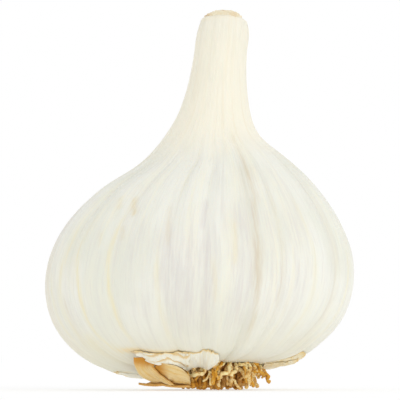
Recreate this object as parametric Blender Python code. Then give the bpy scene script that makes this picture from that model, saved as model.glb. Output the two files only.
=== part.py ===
"""A whole garlic bulb standing on its trimmed roots.

Lengths are in metres, +Z is up, and the front faces -Y. The origin is on the surface that the bulb
stands on, under the middle of the bulb. A place on the skin is given by its turn, in degrees from the
front and positive towards +X, and by its reach, the distance along the skin from the middle of the
underside. Its lift is the distance off the skin.
"""

import math
import random

import bmesh
import bpy
import numpy as np

MM = 0.001

# The bulb's outline: left x and z, right x and z of one ring after another, from underneath to the neck
OUTLINE_MM = (
    (0.0, 4.1, 0.0, 4.1),
    (-6.0, 3.5, 6.0, 4.4),
    (-11.8, 2.7, 12.0, 4.5),
    (-17.4, 3.8, 17.2, 5.4),
    (-22.6, 6.8, 21.6, 8.4),
    (-26.4, 11.4, 25.4, 12.5),
    (-28.1, 18.0, 27.7, 19.2),
    (-27.5, 23.4, 27.5, 24.8),
    (-25.4, 28.4, 25.6, 29.9),
    (-18.1, 36.4, 20.2, 37.8),
    (-10.3, 41.5, 14.4, 43.0),
    (-7.6, 44.4, 11.6, 45.1),
    (-4.7, 48.7, 9.6, 48.0),
    (-2.7, 53.8, 8.5, 53.8),
    (-1.3, 60.3, 8.5, 60.3),
    (-0.5, 65.4, 8.9, 65.6),
    (0.0, 66.9, 8.5, 66.6),
)
# The cut neck is open at the top, and the dried stalk stands in it
NECK_HOLE_MM = (
    (0.4, 67.5, 8.0, 67.1),
    (0.65, 67.3, 7.75, 66.9),
    (0.65, 63.6, 7.75, 63.6),
    (4.2, 63.6, 4.2, 63.6),
)
DEPTH_SHARE = 0.965  # front to back over side to side
FRONT_RISE = 0.115  # how far the underside tips up towards the front, as a share of its radius
RISE_ENDS = (16 * MM, 46 * MM)  # reach where that tip starts to fade and where it is gone

# Furrows between the cloves: turn in degrees, and depth in mm
FURROWS = (
    (-103, 0.8),
    (-79, 0.6),
    (-58, 0.7),
    (-33, 0.65),
    (-12, 0.5),
    (1.5, 0.6),
    (20, 0.9),
    (31.5, 0.5),
    (61, 0.65),
    (79, 0.6),
    (104, 0.8),
    (130, 0.9),
    (157, 0.8),
    (182, 1.0),
    (207, 0.8),
    (232, 0.9),
)
FURROW_SHARPNESS = 2.6
FURROW_REACH_MM = (9, 15, 56, 73)  # it starts, is full, begins to fade and is gone
COLUMNS_PER_CLOVE = 5
SKIN_ROWS = 36

GAP = 0.35 * MM
STALK_CENTRE = (4.2 * MM, 0.0)
STALK_RADIUS = 3.2 * MM
STALK_FOOT = 64.0 * MM
STALK_RIM = 67.7 * MM
STALK_TOP = 68.9 * MM
STALK_SIDES = 28

PLATE_RADIUS = 9.4 * MM
PLATE_THICKNESS = 1.1 * MM
CROWN_RADII = (4.8 * MM, 4.0 * MM)  # the matted crown under the plate, at its top and at its foot
ROOT_COUNT = 100
ROOT_STEPS = 3
ROOT_RADII = (0.42 * MM, 0.6 * MM)
ROOT_SEED = 11
GOLDEN_ANGLE = math.radians(137.508)
FLAP_TURNS = (-60, 2)  # where the big flap at the front left keeps the roots from spreading

# Torn skin round the plate: lines from the held edge to the torn edge, each with places from end to
# end as turn in degrees, reach in mm and lift in mm
SHEET_THICKNESS = 0.6 * MM
RAGGEDNESS = 0.09
FRILL = (
    ((14, 11.5, 1.3), (2, 11.2, 1.8), (-11, 11.5, 1.0), (-34, 13.0, 0.7)),
    ((13, 13.5, 1.1), (4, 15.5, 1.3), (-14, 16.0, 0.75), (-34, 17.0, 0.7)),
    ((12, 16.5, 1.0), (4, 20.6, 1.0), (-15, 20.8, 0.75), (-35, 21.0, 0.7)),
)
FLAP = (
    ((-10, 12.3, 2.2), (-10, 11.5, 2.8), (-11, 11.0, 3.4), (-12, 10.7, 4.0)),
    ((-18, 18.1, 1.8), (-21, 15.5, 2.3), (-23, 13.0, 3.0), (-24, 11.7, 3.8)),
    ((-27, 19.7, 1.7), (-30, 17.0, 2.0), (-34, 14.0, 2.7), (-36, 12.4, 3.5)),
    ((-34, 20.8, 1.7), (-39, 18.2, 1.7), (-43, 15.6, 2.2), (-48, 14.2, 3.0)),
)
RIGHT_STRIP = (
    ((34, 11.2, 0.75), (60, 11.0, 0.75), (90, 11.0, 0.75), (112, 11.0, 0.75)),
    ((44, 15.4, 0.75), (60, 17.0, 0.8), (76, 21.0, 0.75), (106, 15.5, 0.75)),
)
LEFT_LIP = (
    ((-60, 11.0, 0.75), (-82, 11.0, 0.75), (-104, 11.0, 0.75), (-126, 11.0, 0.75)),
    ((-66, 14.8, 0.75), (-82, 16.8, 0.75), (-104, 17.6, 0.75), (-124, 17.0, 0.75)),
)
BACK_STRIP = (
    ((126, 11.0, 0.75), (156, 11.0, 0.75), (190, 11.0, 0.75), (224, 11.0, 0.75)),
    ((128, 14.0, 0.75), (154, 17.0, 0.75), (190, 15.0, 0.75), (220, 16.5, 0.75)),
)

WHITE_SKIN = ("white_skin", (0.86, 0.85, 0.77), 0.45)
DRY_STALK = ("dry_stalk", (0.80, 0.70, 0.50), 0.7)
TAN_ROOT = ("tan_root", (0.56, 0.40, 0.20), 0.8)
TAN_SKIN = ("tan_skin", (0.64, 0.46, 0.24), 0.6)
PALE_SKIN = ("pale_skin", (0.82, 0.77, 0.62), 0.55)


def smooth_step(value, start, end):
    share = np.clip((value - start) / (end - start), 0.0, 1.0)
    return share * share * (3 - 2 * share)


def lerp(start, end, share):
    return start + (end - start) * share


STATIONS = np.array(OUTLINE_MM) * MM


def station_reaches():
    """The reach of each station: the mean length of the left and right outline up to it."""
    steps = np.diff(STATIONS, axis=0)
    lengths = (np.hypot(steps[:, 0], steps[:, 1]) + np.hypot(steps[:, 2], steps[:, 3])) / 2
    return np.concatenate([[0.0], np.cumsum(lengths)])


REACHES = station_reaches()
FULL_REACH = REACHES[-1]
SLOPES = np.gradient(STATIONS, REACHES, axis=0)


def outline_at(reach):
    """Left x and z and right x and z at a reach, on a smooth curve through the stations."""
    reach = np.clip(reach, 0.0, FULL_REACH)
    i = np.clip(np.searchsorted(REACHES, reach, side="right") - 1, 0, len(REACHES) - 2)
    span = REACHES[i + 1] - REACHES[i]
    t = (reach - REACHES[i]) / span
    t, span = t[..., None], span[..., None]
    return (
        (2 * t**3 - 3 * t**2 + 1) * STATIONS[i]
        + (t**3 - 2 * t**2 + t) * span * SLOPES[i]
        + (3 * t**2 - 2 * t**3) * STATIONS[i + 1]
        + (t**3 - t**2) * span * SLOPES[i + 1]
    )


def ring_point(ring, rise, turn):
    """A point at a turn, in radians, on the tilted oval through a ring's left and right ends."""
    left_x, left_z, right_x, right_z = np.moveaxis(ring, -1, 0)
    half = (right_x - left_x) / 2
    x = (left_x + right_x) / 2 + half * np.sin(turn)
    y = -DEPTH_SHARE * half * np.cos(turn)
    z = (left_z + right_z) / 2 + (right_z - left_z) / 2 * np.sin(turn) + rise * half * np.cos(turn)
    return np.stack([x, y, z], axis=-1)


def bare_skin(turn, reach):
    rise = FRONT_RISE * (1 - smooth_step(reach, *RISE_ENDS))
    return ring_point(outline_at(reach), rise, turn)


def furrow_depth(turn, reach):
    """How far the skin sinks between two cloves."""
    angles = np.radians([a for a, _ in FURROWS] + [FURROWS[0][0] + 360])
    depths = np.array([d for _, d in FURROWS] + [FURROWS[0][1]]) * MM
    turn = (turn - angles[0]) % math.tau + angles[0]
    i = np.clip(np.searchsorted(angles, turn, side="right") - 1, 0, len(FURROWS) - 1)
    across = 2 * (turn - angles[i]) / (angles[i + 1] - angles[i]) - 1
    depth = np.where(across < 0, depths[i], depths[i + 1])
    starts, full, fades, gone = (mm * MM for mm in FURROW_REACH_MM)
    strength = smooth_step(reach, starts, full) * (1 - smooth_step(reach, fades, gone))
    return depth * np.abs(across) ** FURROW_SHARPNESS * strength


def skin_point(turn, reach, lift=0.0):
    """A point of the skin, or off it by lift, for turns in radians."""
    turn, reach, lift = np.broadcast_arrays(turn, reach, lift)
    step = 1e-4
    inner = np.maximum(reach - step, step)
    along = bare_skin(turn, inner + 2 * step) - bare_skin(turn, inner)
    around = bare_skin(turn + step, inner) - bare_skin(turn - step, inner)
    normal = np.cross(around, along)
    normal /= np.linalg.norm(normal, axis=-1, keepdims=True)
    off = lift - furrow_depth(turn, reach)
    return bare_skin(turn, reach) + normal * off[..., None]


def clove_turn(column):
    """The turn, in radians, of a column counted from the first furrow, evenly within each clove."""
    angles = [a for a, _ in FURROWS] + [FURROWS[0][0] + 360]
    return np.radians(np.interp(column / COLUMNS_PER_CLOVE, range(len(angles)), angles))


def material(name, colour, roughness):
    found = bpy.data.materials.get(name)
    if found:
        return found
    made = bpy.data.materials.new(name)
    made.use_nodes = True
    shader = made.node_tree.nodes["Principled BSDF"]
    shader.inputs["Base Color"].default_value = (*colour, 1.0)
    shader.inputs["Roughness"].default_value = roughness
    shader.inputs["Metallic"].default_value = 0.0
    made.diffuse_color = (*colour, 1.0)
    return made


def object_from(bm, name, finish=None):
    """Turns a bmesh into an object in the scene."""
    bmesh.ops.recalc_face_normals(bm, faces=bm.faces)
    mesh = bpy.data.meshes.new(name)
    bm.to_mesh(mesh)
    bm.free()
    mesh.shade_smooth()
    if finish:
        mesh.materials.append(material(*finish))
    made = bpy.data.objects.new(name, mesh)
    bpy.context.scene.collection.objects.link(made)
    return made


def apply_modifiers(obj):
    graph = bpy.context.evaluated_depsgraph_get()
    mesh = bpy.data.meshes.new_from_object(obj.evaluated_get(graph))
    obj.modifiers.clear()
    obj.data = mesh


def spun_lattice(rows, columns):
    """A unit tube whose z is the row number, spun from one line of points."""
    bm = bmesh.new()
    line = [bm.verts.new((1, 0, row)) for row in range(rows)]
    edges = [bm.edges.new(pair) for pair in zip(line, line[1:])]
    axis = {"cent": (0, 0, 0), "axis": (0, 0, 1), "angle": math.tau}
    bmesh.ops.spin(bm, geom=line + edges, steps=columns, use_merge=True, **axis)
    return bm


def build_bulb():
    """The cloves in their papery wrapper, with the neck, as one solid."""
    columns = COLUMNS_PER_CLOVE * len(FURROWS)
    hole = np.array(NECK_HOLE_MM) * MM
    reaches = np.linspace(0, FULL_REACH, SKIN_ROWS)
    bm = spun_lattice(SKIN_ROWS + len(hole), columns)
    for vert in bm.verts:
        column = round(math.atan2(vert.co.y, vert.co.x) % math.tau / math.tau * columns) % columns
        turn = clove_turn(column)
        row = round(vert.co.z)
        if row < SKIN_ROWS:
            vert.co = skin_point(turn, reaches[row])
        else:
            vert.co = ring_point(hole[row - SKIN_ROWS], 0.0, turn)
    bmesh.ops.remove_doubles(bm, verts=bm.verts, dist=0.01 * MM)
    return object_from(bm, "wrapped_bulb", WHITE_SKIN)


def build_stalk_end():
    """The dried inner layers of the stalk, cut across, with a step between one layer and the next."""
    step = 0.25 * MM
    dome = STALK_TOP - STALK_RIM
    profile = [(0, STALK_FOOT), (STALK_RADIUS, STALK_FOOT), (STALK_RADIUS, STALK_RIM)]
    for share in (0.86, 0.6, 0.34):
        height = STALK_RIM + dome * math.sqrt(1 - share**2)
        radius = STALK_RADIUS * share
        profile += [(radius, height), (radius - step, height - step)]
    profile.append((0, STALK_TOP))
    bm = bmesh.new()
    line = [bm.verts.new((radius, 0, z)) for radius, z in profile]
    edges = [bm.edges.new(pair) for pair in zip(line, line[1:])]
    axis = {"cent": (0, 0, 0), "axis": (0, 0, 1), "angle": math.tau}
    bmesh.ops.spin(bm, geom=line + edges, steps=STALK_SIDES, use_merge=True, **axis)
    bmesh.ops.remove_doubles(bm, verts=bm.verts, dist=0.01 * MM)
    bmesh.ops.scale(bm, vec=(1, DEPTH_SHARE, 1), verts=bm.verts)
    bmesh.ops.translate(bm, vec=(*STALK_CENTRE, 0), verts=bm.verts)
    return object_from(bm, "stalk_end", DRY_STALK)


def build_plate():
    """The woody disc that the roots grow from, close under the skin's underside."""
    sides, rings = 32, 4
    bm = bmesh.new()
    bmesh.ops.create_circle(bm, cap_ends=True, segments=sides, radius=PLATE_RADIUS)
    middle = bm.faces[:]
    for ring in range(1, rings):
        bmesh.ops.inset_region(bm, faces=middle, thickness=PLATE_RADIUS / rings)
    bmesh.ops.poke(bm, faces=middle)
    top = set(bm.verts)
    bmesh.ops.extrude_face_region(bm, geom=bm.faces[:], use_keep_orig=True)
    for vert in bm.verts:
        turn = math.atan2(vert.co.x, -vert.co.y)
        reach = math.hypot(vert.co.x, vert.co.y)
        lift = GAP if vert in top else GAP + PLATE_THICKNESS
        vert.co = skin_point(turn, reach, lift)
    return object_from(bm, "root_tuft", TAN_ROOT)


def build_crown():
    """The mat of old roots in the middle, which the bulb stands on."""
    bm = bmesh.new()
    top, foot = 4.0 * MM, -1.0 * MM
    radii = {"radius1": CROWN_RADII[1], "radius2": CROWN_RADII[0]}
    bmesh.ops.create_cone(bm, cap_ends=True, segments=24, depth=top - foot, **radii)
    bmesh.ops.translate(bm, vec=(0, 0, (top + foot) / 2), verts=bm.verts)
    for vert in bm.verts:
        turn = math.atan2(vert.co.x, -vert.co.y)
        bump = 1 + 0.07 * math.sin(6 * turn) + 0.05 * math.sin(4 * turn + 1)
        vert.co.x *= bump
        vert.co.y *= bump
        if vert.co.z > 0:
            reach = math.hypot(vert.co.x, vert.co.y)
            vert.co.z = skin_point(turn, reach, GAP + PLATE_THICKNESS / 2)[2]
    return object_from(bm, "crown")


def root_path(start, outward, spread, length):
    """Points down one root: it leaves the plate outwards and turns down."""
    points = [start]
    for step in range(ROOT_STEPS):
        share = (step + 0.5) / ROOT_STEPS
        lean = spread * (1 - share) ** 0.6
        direction = outward * math.sin(lean) + np.array([0, 0, -math.cos(lean)])
        points.append(points[-1] + direction * length / ROOT_STEPS)
    return points


def root_spread(turn, share):
    """How far a root at a share of the plate's area leans outwards, less behind the big flap."""
    degrees = (math.degrees(turn) + 180) % 360 - 180
    behind_flap = FLAP_TURNS[0] < degrees < FLAP_TURNS[1]
    return math.radians(4 if behind_flap else 58) * share**3


def build_root(index, dice):
    """One root: a round bevelled line, sunk in the plate at its upper end."""
    share = (index + 0.5) / ROOT_COUNT
    turn = index * GOLDEN_ANGLE
    reach = math.sqrt(lerp((0.8 * CROWN_RADII[0]) ** 2, (PLATE_RADIUS - 0.6 * MM) ** 2, share))
    start = skin_point(turn, reach, GAP + 0.55 * MM)
    heading = turn + math.radians(dice.uniform(-30, 30))
    outward = np.array([math.sin(heading), -math.cos(heading), 0.0])
    spread = math.radians(dice.uniform(0, 18)) + root_spread(turn, share)
    length = max(start[2] + dice.uniform(-1.2, 0.9) * MM * (0.4 + share), 2 * MM)
    curve = bpy.data.curves.new(f"root_{index:02d}", "CURVE")
    curve.dimensions = "3D"
    curve.bevel_depth = dice.uniform(*ROOT_RADII)
    curve.bevel_resolution = 1
    curve.use_fill_caps = True
    path = root_path(start, outward, spread, length)
    spline = curve.splines.new("POLY")
    spline.points.add(len(path) - 1)
    for step, (point, place) in enumerate(zip(spline.points, path)):
        point.co = (*place, 1)
        point.radius = 1 - 0.05 * step
    line = bpy.data.objects.new("line", curve)
    bpy.context.scene.collection.objects.link(line)
    graph = bpy.context.evaluated_depsgraph_get()
    mesh = bpy.data.meshes.new_from_object(line.evaluated_get(graph))
    bpy.data.objects.remove(line)
    root = bpy.data.objects.new(curve.name, mesh)
    bpy.context.scene.collection.objects.link(root)
    return root


def build_root_tuft():
    """The plate, the crown and the roots joined as one solid, trimmed level at the foot."""
    tuft = build_plate()
    dice = random.Random(ROOT_SEED)
    parts = bpy.data.collections.new("root_parts")
    for part in [build_crown()] + [build_root(i, dice) for i in range(ROOT_COUNT)]:
        bpy.context.scene.collection.objects.unlink(part)
        parts.objects.link(part)
    join = tuft.modifiers.new("join", "BOOLEAN")
    join.operation = "UNION"
    join.operand_type = "COLLECTION"
    join.collection = parts
    join.solver = "EXACT"
    apply_modifiers(tuft)
    for part in list(parts.objects):
        bpy.data.objects.remove(part)
    bpy.data.collections.remove(parts)
    trim_at_floor(tuft)
    return tuft


def trim_at_floor(obj):
    """Cuts everything below z = 0 away, as the grower's knife does."""
    size = 60 * MM
    bm = bmesh.new()
    bmesh.ops.create_cube(bm, size=size)
    bmesh.ops.translate(bm, vec=(0, 0, -size / 2), verts=bm.verts)
    knife = object_from(bm, "knife")
    cut = obj.modifiers.new("trim", "BOOLEAN")
    cut.operation = "DIFFERENCE"
    cut.object = knife
    cut.solver = "EXACT"
    apply_modifiers(obj)
    bpy.data.objects.remove(knife)


def torn_skin(name, finish, lines, teeth, phase):
    """A remnant of the outer skin, held at the root plate and torn off along its last line.

    Each line has places as turn in degrees, reach in mm and lift in mm, all lines with as many places.
    """
    lines = np.array(lines)
    columns = max(5, round(abs(lines[0, -1, 0] - lines[0, 0, 0]) / 6))
    rows = 2 * (len(lines) - 1)
    bm = bmesh.new()
    bmesh.ops.create_grid(bm, x_segments=columns, y_segments=rows, size=0.5)
    for vert in bm.verts:
        across, out = vert.co.x + 0.5, vert.co.y + 0.5
        wave = teeth * math.tau * across
        rag = 0.6 * math.sin(wave + phase) + 0.4 * math.sin(2.4 * wave)
        out *= 1 + RAGGEDNESS * (rag - 1)
        place = across * (lines.shape[1] - 1)
        i = min(int(place), lines.shape[1] - 2)
        across_line = lerp(lines[:, i], lines[:, i + 1], place - i)
        line = min(int(out * (len(lines) - 1)), len(lines) - 2)
        turn, reach, lift = lerp(across_line[line], across_line[line + 1], out * (len(lines) - 1) - line)
        vert.co = skin_point(math.radians(turn), reach * MM, lift * MM)
    made = object_from(bm, name, finish)
    wall = made.modifiers.new("thickness", "SOLIDIFY")
    wall.thickness = SHEET_THICKNESS
    wall.offset = 0.0
    wall.use_even_offset = True
    return made


def build_torn_skins():
    torn_skin("torn_skin_front", PALE_SKIN, FRILL, 3, 0.8)
    torn_skin("torn_skin_left", TAN_SKIN, FLAP, 2, 2.2)
    torn_skin("torn_skin_right", TAN_SKIN, RIGHT_STRIP, 4, 2.0)
    torn_skin("torn_skin_under", PALE_SKIN, LEFT_LIP, 3, 4.0)
    torn_skin("torn_skin_back", PALE_SKIN, BACK_STRIP, 5, 1.1)


def clear_scene():
    for obj in list(bpy.data.objects):
        bpy.data.objects.remove(obj)


clear_scene()
build_bulb()
build_stalk_end()
build_root_tuft()
build_torn_skins()
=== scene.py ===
# %% [markdown]
# # A garlic bulb
# A garlic bulb is a ring of cloves wrapped together in several layers of dry skin. The layers run up
# into a neck, which was the plant's stalk and is cut across here. Under the bulb is a woody plate with
# the stumps of its roots, and round the plate are the remains of the outermost skin, torn off in
# cleaning.
#
# The solid model of the bulb is loaded first. It gives the size and the place of every piece. The
# finer pieces below then take the place of its solids one by one, and its hull stays for collision.

# %% Load the solid model
import math
import random

import bmesh
import bpy
import numpy as np
from mathutils import Matrix, Vector, noise


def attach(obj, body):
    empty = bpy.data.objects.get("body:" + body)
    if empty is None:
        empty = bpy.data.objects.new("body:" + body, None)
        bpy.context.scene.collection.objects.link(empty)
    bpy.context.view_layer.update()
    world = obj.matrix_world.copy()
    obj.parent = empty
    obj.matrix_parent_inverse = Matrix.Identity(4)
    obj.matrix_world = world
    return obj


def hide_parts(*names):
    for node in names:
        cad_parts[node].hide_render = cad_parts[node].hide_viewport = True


MM = 0.001
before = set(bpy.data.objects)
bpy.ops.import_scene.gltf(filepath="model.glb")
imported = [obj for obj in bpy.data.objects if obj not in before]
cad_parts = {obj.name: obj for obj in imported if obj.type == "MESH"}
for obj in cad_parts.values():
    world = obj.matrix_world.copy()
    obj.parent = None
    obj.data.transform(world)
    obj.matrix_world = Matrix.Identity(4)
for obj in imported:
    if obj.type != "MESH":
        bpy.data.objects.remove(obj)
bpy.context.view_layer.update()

# %% [markdown]
# ## The bulb's outline
# The bulb isn't round about one axis: it bulges lower on its left, and its neck leans to the right. A
# plain spin of one profile couldn't show that. The outline is therefore given as pairs, with the left
# and the right end of one ring after another from underneath to the neck, and each ring is an oval
# through its pair. A smooth curve through the pairs gives the rings between them. How far a ring lies
# from the middle of the underside, measured along the skin, is its reach.

# %% Rings from the underside to the neck
OUTLINE_MM = (
    (0.0, 4.1, 0.0, 4.1),
    (-6.0, 3.5, 6.0, 4.4),
    (-11.8, 2.7, 12.0, 4.5),
    (-17.4, 3.8, 17.2, 5.4),
    (-22.6, 6.8, 21.6, 8.4),
    (-26.4, 11.4, 25.4, 12.5),
    (-28.1, 18.0, 27.7, 19.2),
    (-27.5, 23.4, 27.5, 24.8),
    (-25.4, 28.4, 25.6, 29.9),
    (-18.1, 36.4, 20.2, 37.8),
    (-10.3, 41.5, 14.4, 43.0),
    (-7.6, 44.4, 11.6, 45.1),
    (-4.7, 48.7, 9.6, 48.0),
    (-2.7, 53.8, 8.5, 53.8),
    (-1.3, 60.3, 8.35, 60.3),
    (-0.5, 65.4, 8.75, 65.6),
    (0.0, 66.9, 8.5, 66.6),
)
RING_COUNT = 110
SOFTEN_WINDOW = 9
SOFTENED = (4 * MM, 10 * MM, 80 * MM, 88 * MM)


def smooth_step(value, start, end):
    share = np.clip((value - start) / (end - start), 0.0, 1.0)
    return share * share * (3 - 2 * share)


def rise_and_fall(value, starts, full, fades, gone):
    """Goes from 0 to 1 between the first two places, and back to 0 between the last two."""
    return smooth_step(value, starts, full) * (1 - smooth_step(value, fades, gone))


def smooth_between(table, knots, places):
    """Reads a table's rows at places between its knots, on one smooth curve through all of them."""
    table = np.asarray(table, float)
    knots = np.asarray(knots, float)
    slopes = np.gradient(table, knots, axis=0)
    places = np.clip(places, knots[0], knots[-1])
    i = np.clip(np.searchsorted(knots, places, side="right") - 1, 0, len(knots) - 2)
    span = (knots[i + 1] - knots[i])[..., None]
    t = (places - knots[i])[..., None] / span
    return (
        (2 * t**3 - 3 * t**2 + 1) * table[i]
        + (t**3 - 2 * t**2 + t) * span * slopes[i]
        + (3 * t**2 - 2 * t**3) * table[i + 1]
        + (t**3 - t**2) * span * slopes[i + 1]
    )


def reaches_of(rings):
    """The reach of each ring: the mean length of the left and right outline up to it."""
    steps = np.diff(rings, axis=0)
    lengths = (np.hypot(steps[:, 0], steps[:, 1]) + np.hypot(steps[:, 2], steps[:, 3])) / 2
    return np.concatenate([[0.0], np.cumsum(lengths)])


def soften(rings, reaches):
    """Evens out the curve's bends between a place past the root plate and the neck's rim."""
    kernel = np.hanning(SOFTEN_WINDOW)
    kernel /= kernel.sum()
    padded = np.pad(rings, ((SOFTEN_WINDOW // 2,) * 2, (0, 0)), mode="edge")
    evened = np.stack([np.convolve(side, kernel, mode="valid") for side in padded.T], axis=1)
    return rings + (evened - rings) * rise_and_fall(reaches, *SOFTENED)[:, None]


STATIONS = np.array(OUTLINE_MM) * MM
STATION_REACHES = reaches_of(STATIONS)
FULL_REACH = STATION_REACHES[-1]
RING_REACHES = np.linspace(0, FULL_REACH, RING_COUNT)
RINGS = soften(smooth_between(STATIONS, STATION_REACHES, RING_REACHES), RING_REACHES)
print("the skin is", round(FULL_REACH / MM, 1), "mm long from its underside to the neck's rim")

# %% [markdown]
# ## Places on the skin
# A place on the skin is named by its turn, the angle from the front and positive towards +X, and by
# its reach. Its lift is the distance off the skin. Every later piece uses these three numbers, so it
# follows the bulb by itself.

# %% From turn and reach to a point
DEPTH_SHARE = 0.965
FRONT_RISE = 0.115
RISE_ENDS = (16 * MM, 46 * MM)


def ring_point(ring, rise, turn):
    """A point at a turn, in radians, on the tilted oval through a ring's left and right ends."""
    left_x, left_z, right_x, right_z = np.moveaxis(ring, -1, 0)
    half = (right_x - left_x) / 2
    x = (left_x + right_x) / 2 + half * np.sin(turn)
    y = -DEPTH_SHARE * half * np.cos(turn)
    z = (left_z + right_z) / 2 + (right_z - left_z) / 2 * np.sin(turn) + rise * half * np.cos(turn)
    return np.stack([x, y, z], axis=-1)


def bare_skin(turn, reach):
    rise = FRONT_RISE * (1 - smooth_step(reach, *RISE_ENDS))
    return ring_point(smooth_between(RINGS, RING_REACHES, reach), rise, turn)


def skin_radius(reach):
    """The bulb's half width at a reach, which turns an angle into a distance."""
    ring = smooth_between(RINGS, RING_REACHES, reach)
    return (ring[..., 2] - ring[..., 0]) / 2


print("widest ring, mm:", round(2 * float(skin_radius(RING_REACHES).max()) / MM, 1))

# %% [markdown]
# ## Cloves under the skin
# Between two cloves the skin sinks into a soft furrow. A displacement texture could make furrows, but
# it couldn't place them. Here each one is listed with its turn and its depth, and the skin between two
# of them swells like the clove inside.

# %% Furrows between the cloves
FURROWS = (
    (-103, 0.8),
    (-79, 0.55),
    (-58, 0.55),
    (-33, 0.5),
    (-12, 0.4),
    (1.5, 0.5),
    (20, 0.6),
    (31.5, 0.4),
    (61, 0.55),
    (79, 0.6),
    (104, 0.8),
    (130, 0.9),
    (157, 0.8),
    (182, 1.0),
    (207, 0.8),
    (232, 0.9),
)
FURROW_TURNS = np.radians([turn for turn, _ in FURROWS] + [FURROWS[0][0] + 360])
FURROW_SHARPNESS = 2.2
FURROW_REACH = (9 * MM, 15 * MM, 56 * MM, 73 * MM)


def furrow_depth(turn, reach):
    """How far the skin sinks between two cloves."""
    depths = np.array([deep for _, deep in FURROWS] + [FURROWS[0][1]]) * MM
    turn = (turn - FURROW_TURNS[0]) % math.tau + FURROW_TURNS[0]
    i = np.clip(np.searchsorted(FURROW_TURNS, turn, side="right") - 1, 0, len(FURROWS) - 1)
    across = 2 * (turn - FURROW_TURNS[i]) / (FURROW_TURNS[i + 1] - FURROW_TURNS[i]) - 1
    depth = np.where(across < 0, depths[i], depths[i + 1])
    return depth * np.abs(across) ** FURROW_SHARPNESS * rise_and_fall(reach, *FURROW_REACH)


print(len(FURROWS), "furrows, the deepest", max(deep for _, deep in FURROWS), "mm")

# %% [markdown]
# ## Edges and creases
# The skin steps up a little along the edge of a layer that lies underneath, and the drying neck drew
# a few creases into the shoulder. Each of these has its own place, so they are listed too.

# %% Edges of layers, and creases under the neck
# Edges of layers under the surface: the line's turns and reaches in degrees and mm, and the step in mm
LAYER_EDGES = (
    ((24, 22, 22, 23, 23.5, 23), (14, 30, 42, 55, 64, 74), 0.11),
    ((-45, -48, -52, -50, -44), (19, 28, 40, 52, 62), 0.12),
    ((-31, -33, -36, -33), (22, 29, 42, 56), 0.1),
    ((-13, -14, -16, -14), (21, 28, 40, 55), 0.07),
    ((64, 68, 70, 60), (18, 32, 48, 64), 0.13),
    ((118, 121, 118, 112), (18, 34, 50, 66), 0.15),
    ((171, 168, 172, 170), (16, 32, 48, 68), 0.15),
    ((-142, -140, -143, -138), (16, 34, 50, 66), 0.14),
    ((-95, -93, -96, -92), (18, 32, 46, 60), 0.12),
)
LAYER_WIDTH = math.radians(9)
EDGE_TURN = 0.012
# Diagonal creases where the neck grows out of the shoulder: turn and reach of both ends, and depth in mm
NECK_CREASES = (
    ((-38, 67.6), (-6, 63.4), 0.22),
    ((-75, 66.5), (-48, 70.5), 0.2),
    ((12, 72.0), (26, 68.5), 0.2),
    ((150, 66.0), (184, 70.0), 0.25),
    ((96, 68.5), (122, 65.5), 0.2),
)
CREASE_WIDTH = 1.3 * MM


def turn_gap(turn, line_turn):
    """The signed angle from a line to a turn, the short way round."""
    return (turn - line_turn + math.pi) % math.tau - math.pi


def layer_step(turn, reach):
    """How far the skin stands up over the edges of the layers beneath it."""
    height = np.zeros(np.broadcast(turn, reach).shape)
    for turns, reaches, step in LAYER_EDGES:
        reaches = np.array(reaches) * MM
        past = turn_gap(turn, np.interp(reach, reaches, np.radians(turns)))
        fall = np.exp(-np.clip(past, 0, None) / LAYER_WIDTH)
        low, high = reaches[0], reaches[-1]
        ends = rise_and_fall(reach, low - 5 * MM, low + 3 * MM, high - 8 * MM, high)
        height = height + step * MM * smooth_step(past, -EDGE_TURN, EDGE_TURN) * fall * ends
    return height


def crease_depth(turn, reach):
    """How far the skin sinks into the creases under the neck."""
    depth = np.zeros(np.broadcast(turn, reach).shape)
    for (turn_a, reach_a), (turn_b, reach_b), deep in NECK_CREASES:
        share = turn_gap(turn, math.radians(turn_a)) / math.radians(turn_b - turn_a)
        line = (reach_a + (reach_b - reach_a) * np.clip(share, 0, 1)) * MM
        off = (reach - line) / CREASE_WIDTH
        depth = depth + deep * MM * np.exp(-off * off) * rise_and_fall(share, -0.15, 0.25, 0.75, 1.15)
    return depth


print(len(LAYER_EDGES), "edges of layers and", len(NECK_CREASES), "creases")

# %% [markdown]
# ## Pleats
# All over the skin are shallow pleats from the root plate to the neck, because it dried while it was
# stretched that way. They have no places of their own, so noise makes them. It is read on a circle
# round the bulb, which leaves no seam, and drawn out along the reach.

# %% Pleats, and a point on the finished skin
# How often the noise turns round the bulb, the mm it is drawn out over, its shift, and its height in mm
PLEATS = ((13, 16, 0, 0.05), (4.5, 22, 7, 0.16))
PLEATS_START = (8 * MM, 20 * MM)
PLEATS_FADE = (62 * MM, 76 * MM)
SMALL_STEP = 1e-4


def noise_at(x, y, z):
    """Smooth noise at many places at once, from arrays of coordinates or plain numbers."""
    x, y, z = np.broadcast_arrays(*(np.asarray(side, float) for side in (x, y, z)))
    values = [noise.noise(Vector(place)) for place in zip(x.flat, y.flat, z.flat)]
    return np.array(values).reshape(x.shape)


def pleat_height(turn, reach):
    """How far the pleats raise the skin, less on the neck than on the belly."""
    height = sum(
        high * noise_at(often * np.sin(turn), often * np.cos(turn), reach / MM / drawn + shift)
        for often, drawn, shift, high in PLEATS
    )
    return height * MM * smooth_step(reach, *PLEATS_START) * (1 - 0.6 * smooth_step(reach, *PLEATS_FADE))


def skin_relief(turn, reach):
    """How far the skin stands off its smooth shape: its steps and pleats less its furrows and creases."""
    raised = layer_step(turn, reach) + pleat_height(turn, reach)
    return raised - furrow_depth(turn, reach) - crease_depth(turn, reach)


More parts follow.
